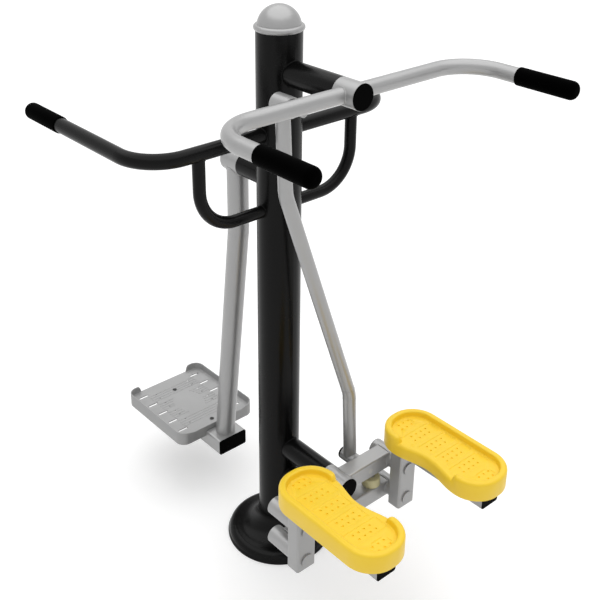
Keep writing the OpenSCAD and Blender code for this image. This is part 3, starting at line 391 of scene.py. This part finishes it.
def tray(length, width, corner, cuts, dent, rings, share, under):
    """Skin of a shallow tray about the origin, its tread at z = 0. Sides of the outline that
    are longer than the first of the cuts' numbers are cut as often as the second says. The
    outline's face is inset ring by ring: each ring has its distance inwards, its height
    without the rim and its height with it, and share says how much of the rim stands at a
    place. The rings under it have a distance inwards and a height. Returns the mesh and the
    tread's face."""
    skin = bmesh.new()
    segments = 128
    shortest, count = cuts
    bmesh.ops.create_circle(skin, segments=segments, radius=corner * MM)
    bmesh.ops.rotate(skin, verts=skin.verts, matrix=Matrix.Rotation(math.pi / segments, 3, "Z"))
    for vert in skin.verts:
        vert.co.x += math.copysign((length / 2 - corner) * MM, vert.co.x)
        vert.co.y += math.copysign((width / 2 - corner) * MM, vert.co.y)
    sides = [edge for edge in skin.edges if edge.calc_length() > shortest * MM]
    bmesh.ops.subdivide_edges(skin, edges=sides, cuts=count)
    for vert in skin.verts:
        if vert.co.y < 0:
            vert.co.y += dent(vert.co.x / MM) * MM
    tread = bmesh.ops.contextual_create(skin, geom=skin.edges)["faces"][0]
    if tread.normal.z < 0:
        bmesh.ops.reverse_faces(skin, faces=[tread])
    copy = bmesh.ops.duplicate(skin, geom=[tread])["geom"]
    floor = next(item for item in copy if isinstance(item, bmesh.types.BMFace))
    bmesh.ops.reverse_faces(skin, faces=[floor])
    for face, steps in ((tread, rings), (floor, under)):
        inset = 0
        for step in steps:
            if step[0] > inset:
                bmesh.ops.inset_region(skin, faces=[face], thickness=(step[0] - inset) * MM,
                                       use_even_offset=True, use_boundary=True)
            inset = step[0]
            for vert in face.verts:
                x, y = vert.co.x / MM, vert.co.y / MM
                full = share(x, y, inset) if face == tread else 0
                vert.co.z = (step[1] + full * (step[-1] - step[1])) * MM
    rims = [edge for edge in skin.edges if edge.is_boundary]
    bmesh.ops.bridge_loops(skin, edges=rims)
    bmesh.ops.recalc_face_normals(skin, faces=skin.faces)
    return skin, tread


def carve(skin, tools):
    """The mesh less the tools' mesh, both closed."""
    blocks = []
    for name, mesh in (("body", skin), ("tools", tools)):
        block = bpy.data.objects.new(name, bpy.data.meshes.new(name))
        mesh.to_mesh(block.data)
        mesh.free()
        bpy.context.scene.collection.objects.link(block)
        blocks.append(block)
    cutting = blocks[0].modifiers.new("cutting", "BOOLEAN")
    cutting.operation = "DIFFERENCE"
    cutting.solver = "EXACT"
    cutting.object = blocks[1]
    ready = blocks[0].evaluated_get(bpy.context.evaluated_depsgraph_get())
    result = bmesh.new()
    result.from_mesh(bpy.data.meshes.new_from_object(ready))
    for block in blocks:
        bpy.data.objects.remove(block)
    return result


pedal_low, pedal_high = [Vector(corner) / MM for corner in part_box("pedal_right")]
pedal_middle = (pedal_low + pedal_high) / 2
pedal_length, pedal_width = pedal_high.x - pedal_low.x, pedal_high.y - pedal_low.y
rim_height, rim_width = 16, 23
tread_z = pedal_high.z - rim_height
skirt_z = pedal_low.z - tread_z
pedal_corner, dent_depth, dent_half, nose = 74, 18, 103, 12


def dent(x):
    """How far the inner side is pressed in."""
    return dent_depth * (1 + math.cos(math.pi * x / dent_half)) / 2 if abs(x) < dent_half else 0


def rim_share(x, y, inset):
    """Full height of the rim all round, falling in round noses at the ends of the dent."""
    if y > 0 or abs(x) > dent_half + nose:
        return 1
    half = rim_width / 2
    start = dent_half - nose + half - math.sqrt(max(half ** 2 - (inset - half) ** 2, 0))
    rise = min(max((abs(x) - start) / nose, 0), 1)
    return math.sqrt(1 - (1 - rise) ** 2)


pedal_rings = [(0, -9, 7), (0.8, -5, 11), (2.6, -2.2, 13.8), (5.5, -0.5, 15.5), (9, 0, 16),
               (13.5, 0, 16), (16, 0, 15.6), (17.6, 0, 14.2), (18.4, 0, 11.5), (19, 0, 5),
               (19.5, 0, 2.2), (20.6, 0, 0.6), (23, 0, 0)]
pedal_under = [(0, skirt_z + 2), (0.6, skirt_z + 0.6), (2, skirt_z), (5, skirt_z), (5.5, -5)]
skin, tread = tray(pedal_length, pedal_width, pedal_corner, (100, 105), dent, pedal_rings,
                   rim_share, pedal_under)

# The rings beyond the first flat one are stretched inwards along the dent, where no rim stands.
flat_from, widened, fading = 9, 0.6, 30
for vert in skin.verts:
    x, y, z = vert.co / MM
    inwards = y + pedal_width / 2 - dent(x) - flat_from
    if y < 0 and z > -0.1 and inwards > 0 and abs(x) < dent_half - nose:
        slack = min((dent_half - nose - abs(x)) / fading, 1)
        vert.co.y -= widened * inwards * slack * slack * (3 - 2 * slack) * MM


def tread_reach(x, side, window=4):
    """How far the flat of the tread reaches from the middle line at x."""
    near = [abs(vert.co.y) for vert in tread.verts
            if abs(vert.co.x - x * MM) < window * MM and vert.co.y * side > 0]
    return max(near) / MM


def slab(mesh, x, along, inner, outer, corner, low, high, spread):
    """Closed block with round corners whose top spreads a little, for cutting a recess."""
    segments = 32
    made = bmesh.ops.create_circle(mesh, cap_ends=True, segments=segments,
                                   radius=corner * MM)["verts"]
    bmesh.ops.rotate(mesh, verts=made, matrix=Matrix.Rotation(math.pi / segments, 3, "Z"))
    for vert in made:
        vert.co.x += (x + math.copysign(along - corner, vert.co.x)) * MM
        vert.co.y += (outer - corner if vert.co.y > 0 else corner - inner) * MM
        vert.co.z = low * MM
    base = made[0].link_faces[0]
    copy = bmesh.ops.duplicate(mesh, geom=[base])["geom"]
    top = next(item for item in copy if isinstance(item, bmesh.types.BMFace))
    for vert in top.verts:
        vert.co.x += math.copysign(spread * MM, vert.co.x - x * MM)
        vert.co.y += math.copysign(spread * MM, vert.co.y)
        vert.co.z = high * MM
    bmesh.ops.reverse_faces(mesh, faces=[base])
    bmesh.ops.bridge_loops(mesh, edges=[*base.edges, *top.edges])


bands, band_width, end_room = 5, 15, 30
band_pitch = (pedal_length - end_room) / (bands + 1)
field_depth, field_corner, end_corner, end_gap, side_gap = 1.8, 6, 15, 3, 2
cutter_top, cutter_spread = 4, 6
pit_radius, pit_taper, pit_depth, pit_column, pit_row, pit_skew = 3.2, 0.3, 2.6, 8.75, 18, 2
fields, pits = bmesh.new(), bmesh.new()
for i in range(bands + 1):
    x = (i - bands / 2) * band_pitch
    at_end = i in (0, bands)
    along = (band_pitch - band_width) / 2 - end_gap * at_end
    corner = end_corner if at_end else field_corner
    inner, outer = [min(tread_reach(x + shift, side) for shift in (-along, 0, along)) - side_gap
                    for side in (-1, 1)]
    slab(fields, x, along, inner, outer, corner, -field_depth, cutter_top, cutter_spread)
    for column in (-1, 1):
        for row in (-1, 0, 1) if at_end else (-1.5, -0.5, 0.5, 1.5):
            spot = Vector((x + column * pit_column, row * pit_row - column * pit_skew, -field_depth))
            bmesh.ops.create_cone(pits, cap_ends=True, segments=16,
                                  radius1=pit_radius * (1 - pit_taper) * MM,
                                  radius2=pit_radius * (1 + pit_taper) * MM,
                                  depth=2 * pit_depth * MM, matrix=Matrix.Translation(spot * MM))
right = carve(carve(skin, fields), pits)

rib_top, rib_short, rib_thick = -4.5, 0.3, 4
rib_height = rib_top - skirt_z - rib_short
rib_length, rib_y, boss_radius = pedal_length - 24, 27.5, 10
cross_x, cross_length = 96, pedal_width - 9
ribs = [((0, y), (rib_length, rib_thick)) for y in (-rib_y, rib_y)]
ribs += [((x, dent(x) / 2), (rib_thick, cross_length - dent(x))) for x in (-cross_x, 0, cross_x)]
for (x, y), (along, across) in ribs:
    shape = Matrix.Diagonal((along * MM, across * MM, rib_height * MM, 1))
    spot = Vector((x, y, rib_top - rib_height / 2)) * MM
    bmesh.ops.create_cube(right, size=1, matrix=Matrix.Translation(spot) @ shape)
for x in (-cross_x, cross_x):
    spot = Matrix.Translation(Vector((x, 0, rib_top - rib_height / 2)) * MM)
    bmesh.ops.create_cone(right, cap_ends=True, segments=32, radius1=boss_radius * MM,
                          radius2=boss_radius * MM, depth=rib_height * MM, matrix=spot)
right.transform(Matrix.Translation(Vector((pedal_middle.x, pedal_middle.y, tread_z)) * MM))
left = right.copy()
left.transform(Matrix.Scale(-1, 4, (0, 1, 0)))
bmesh.ops.reverse_faces(left, faces=left.faces)

# Coloured through and lit from above, polypropylene glows a little: no shadow in it is grey.
yellow_plastic = moulded("yellow_moulded_polypropylene", "#FCD62F", "#F9CF25", 2,
                         {"IOR": 1.5, "Roughness": 0.42})
for side, mesh in (("right", right), ("left", left)):
    piece("moulded_pedal_" + side, mesh, yellow_plastic, side + "_step",
          ["pedal_" + side])


# Moving handlebar
# A pivot hub with a bent tube welded to each side, silver grey, with rubber grips on its
# ends, a black cap in the hub, and the cranked lug with the pin that the link turns on.

finish(silver_coat, "handlebar_hub", "handlebars", "link_lug")
finish(black_plastic, "handlebar_hub_cap")
finish(zinc, "link_top_pin")
bar_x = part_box("handlebars")[0][0] / MM + bar_radius
beads("handlebar_welds", silver_coat, "handlebar", [
    saddle((bar_x, 0, handlebar_z), (0, side, 0), (1, 0, 0), bar_radius, arm_radius)
    for side in (-1, 1)])


# Link
# A cranked round tube from the upper beam up to the handlebar, with a welded sleeve at each
# end. The lower one is bushed and turns on a plated pin, and black caps close both.

finish(silver_coat, "link_rod", "link_sleeves")
finish(black_plastic, "link_caps")
finish(nylon, "link_bushes")
finish(zinc, "link_low_pin")


# Pendulum
# A round tube bent gently outwards, welded to its pivot hub and to the flat foot tube,
# which is closed by black caps.

finish(silver_coat, "pendulum_hub", "pendulum_tube", "foot_tube")
finish(black_plastic, "pendulum_hub_cap", "foot_tube_caps")
pendulum_radius = 29
pendulum_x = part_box("pendulum_tube")[1][0] / MM - pendulum_radius
beads("pendulum_welds", silver_coat, "pendulum", [
    saddle((pendulum_x, 0, pendulum_z), (0, 0, -1), (1, 0, 0), pendulum_radius, arm_radius)])


# Foot plate
# An aluminium casting bolted to the foot tube: a tread with ribs, slots and drain holes, a
# wall along each side and a lower one across the end beside the tube. It is coated dull grey.

plate_low, plate_high = [Vector(corner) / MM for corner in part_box("foot_plate")]
# The casting reaches a little nearer to the tube than its node does.
near_reach = 14
plate_high.x += near_reach
plate_middle = (plate_low + plate_high) / 2
plate_length, plate_width = plate_high.x - plate_low.x, plate_high.y - plate_low.y
plate_corner, wall_height = 30, 22
plate_z = plate_high.z - wall_height
plate_thick, wall_gap, wall_end = 3, 90, 12
near_share, slope_start, slope = 0.62, 92, 34


def wall_share(x, y, inset):
    """Walls along the sides, which wrap the far corners to round ends and slope down to a
    lower wall across the end beside the tube."""
    if x > 0:
        return near_share + (1 - near_share) * min(max((abs(y) - slope_start) / slope, 0), 1)
    rise = min(max((abs(y) - wall_gap) / wall_end, 0), 1)
    return math.sqrt(1 - (1 - rise) ** 2)


plate_rings = [(0, -1.5, 20.5), (0.5, -0.5, 21.5), (1.75, 0, 22), (3, 0, 21.5), (3.5, 0, 20.5),
               (3.9, 0, 2), (4.6, 0, 0.6), (6.5, 0, 0)]
plate_bottom = plate_low.z - plate_z
plate_under = [(0, plate_bottom + 1), (0.8, plate_bottom), (3, plate_bottom), (3.5, -plate_thick)]
skin, _ = tray(plate_length, plate_width, plate_corner, (200, 110), lambda x: 0, plate_rings,
               wall_share, plate_under)

tools = bmesh.new()
slot_y, slot_pitch, slot_length, slot_width = 100, 55, 34, 8
hole_y, hole_radius = 63, 3.5


def bore(x, y, radius, stretch=0):
    """Cutter for a drilled hole, or for a slot that is stretched along Y."""
    spot = Matrix.Translation(Vector((x - near_reach / 2, y, -plate_thick / 2)) * MM)
    made = bmesh.ops.create_cone(tools, cap_ends=True, segments=24, radius1=radius * MM,
                                 radius2=radius * MM, depth=4 * plate_thick * MM, matrix=spot)
    for vert in made["verts"]:
        vert.co.y += math.copysign(stretch / 2 * MM, vert.co.y - y * MM)


for side in (-1, 1):
    for i in range(5):
        bore((i - 2) * slot_pitch, side * slot_y, slot_width / 2, slot_length - slot_width)
    for i in range(8):
        bore((i - 3.5) * slot_pitch / 2, side * hole_y, hole_radius)
# The skirt is open where the foot tube passes under it.
passage_width, passage_low, passage_top = 100.1, -30, plate_bottom + 18
shape = Matrix.Diagonal((plate_length * MM, passage_width * MM, (passage_top - passage_low) * MM, 1))
spot = Matrix.Translation(Vector((plate_length / 2, 0, (passage_top + passage_low) / 2)) * MM)
bmesh.ops.create_cube(tools, size=1, matrix=spot @ shape)
plate = carve(skin, tools)

# No rib runs in line with the slots, and an oval in the middle is left bare.
rib_pitch, rib_width, ridge, ridge_round, rib_end = 11, 5, 0.8, 0.7, 88
bare, bare_share, slot_step, outer_rib = 60, 0.8, 5, 9
for i in range(-outer_rib, outer_rib + 1):
    if i % slot_step == 0:
        continue
    x = i * rib_pitch
    inner = math.sqrt(max(bare ** 2 - x ** 2, 0)) * bare_share
    spans = [(-rib_end, -inner), (inner, rib_end)] if inner > 0 else [(-rib_end, rib_end)]
    for start, end in spans:
        shape = Matrix.Diagonal((rib_width * MM, (end - start) * MM, 2 * ridge * MM, 1))
        spot = Matrix.Translation(Vector((x - near_reach / 2, (start + end) / 2, 0)) * MM)
        made = bmesh.ops.create_cube(plate, size=1, matrix=spot @ shape)
        tops = {edge for vert in made["verts"] if vert.co.z > 0 for edge in vert.link_edges
                if all(end.co.z > 0 for end in edge.verts)}
        bmesh.ops.bevel(plate, geom=list(tops), offset=ridge_round * MM, segments=2, profile=0.5,
                        affect="EDGES", material=-1)
plate.transform(Matrix.Translation(Vector((plate_middle.x, plate_middle.y, plate_z)) * MM))

# A thick coat over a sand cast skin: duller than the tubes, with a faint pebbled feel.
cast_coat = powder_coat("grey_coated_cast_aluminium", "#A0A0A0", "#969696", 0.45,
                        {"Metallic": 0.4})
piece("cast_foot_plate", plate, cast_coat, "pendulum", ["foot_plate"])
# Oiled black oxide: nearly as dark as the caps, with a metal's sheen on its edges.
dark_steel = powder_coat("black_oxide_steel", "#3A3A3A", "#303030", 0.35, {"Metallic": 0.9})
finish(dark_steel, "foot_plate_bolts")


# Studio
# A pale seamless floor under one wide, soft light and a white sky, so that the colours
# render about as written. The camera stands where the photograph's did.

def sun(name, way, strength, spread):
    """A soft distant light that shines along a direction."""
    light = bpy.data.lights.new(name, "SUN")
    light.energy = strength
    light.angle = math.radians(spread)
    lamp = bpy.data.objects.new(name, light)
    lamp.rotation_euler = Vector(way).to_track_quat("-Z", "Y").to_euler()
    bpy.context.scene.collection.objects.link(lamp)


def seen_rays(owner):
    """1 for what the camera sees, plain, mirrored or through glass, and 0 for light on matt skins."""
    path = add(owner, "ShaderNodeLightPath")
    mirrored = add(owner, "ShaderNodeMath", {"operation": "MAXIMUM"},
                   {0: path.outputs["Is Glossy Ray"], 1: path.outputs["Is Transmission Ray"]})
    seen = add(owner, "ShaderNodeMath", {"operation": "MAXIMUM"},
               {0: path.outputs["Is Camera Ray"], 1: mirrored.outputs[0]})
    return seen.outputs[0]


sun("overhead_light", (0.05, -0.05, -1), 2.1, 95)

floor_radius = 16000
floor_mesh = bmesh.new()
bmesh.ops.create_circle(floor_mesh, cap_ends=True, segments=96, radius=floor_radius * MM)
floor = bpy.data.objects.new("floor", bpy.data.meshes.new("floor"))
floor_mesh.to_mesh(floor.data)
floor_mesh.free()
bpy.context.scene.collection.objects.link(floor)
# Matt paper that keeps the object's shadow. To the eye alone it glows a little, which brings
# it near white with no more light on the object.
paper, _ = blank("white_paper_floor")
glow = 0.24
lift = add(paper, "ShaderNodeMath", {"operation": "MULTIPLY", 1: glow}, {0: seen_rays(paper)})
shade(paper, {"Base Color": linear("#F2F2F2"), "Roughness": 0.9, "Specular IOR Level": 0.0,
              "Emission Color": linear("#FFFFFF")}, {"Emission Strength": lift.outputs[0]})
floor.data.materials.append(paper)

world = bpy.data.worlds.new("studio_sky")
world.use_nodes = True
world.node_tree.nodes.clear()
# The sky is white to the eye and dimmer as a light, so that pale surfaces don't clip.
sky_light, sky_white = 0.42, 1.0
level = add(world, "ShaderNodeMapRange", {"To Min": sky_light, "To Max": sky_white},
            {"Value": seen_rays(world)})
sky = add(world, "ShaderNodeBackground", {"Color": linear("#FFFFFF")}, {"Strength": level.outputs[0]})
add(world, "ShaderNodeOutputWorld", links={"Surface": sky.outputs[0]})
bpy.context.scene.world = world
bpy.context.scene.view_settings.view_transform = "Standard"

lens = bpy.data.cameras.new("photo_camera")
lens.sensor_width = 36
lens.lens = 59.24
lens.shift_x = 0.0374
lens.shift_y = -0.1227
camera = bpy.data.objects.new("photo_camera", lens)
camera.location = (1.7436, -1.4769, 2.0898)
camera.rotation_euler = (math.radians(64.53), 0, math.radians(49.83))
bpy.context.scene.collection.objects.link(camera)
bpy.context.scene.camera = camera
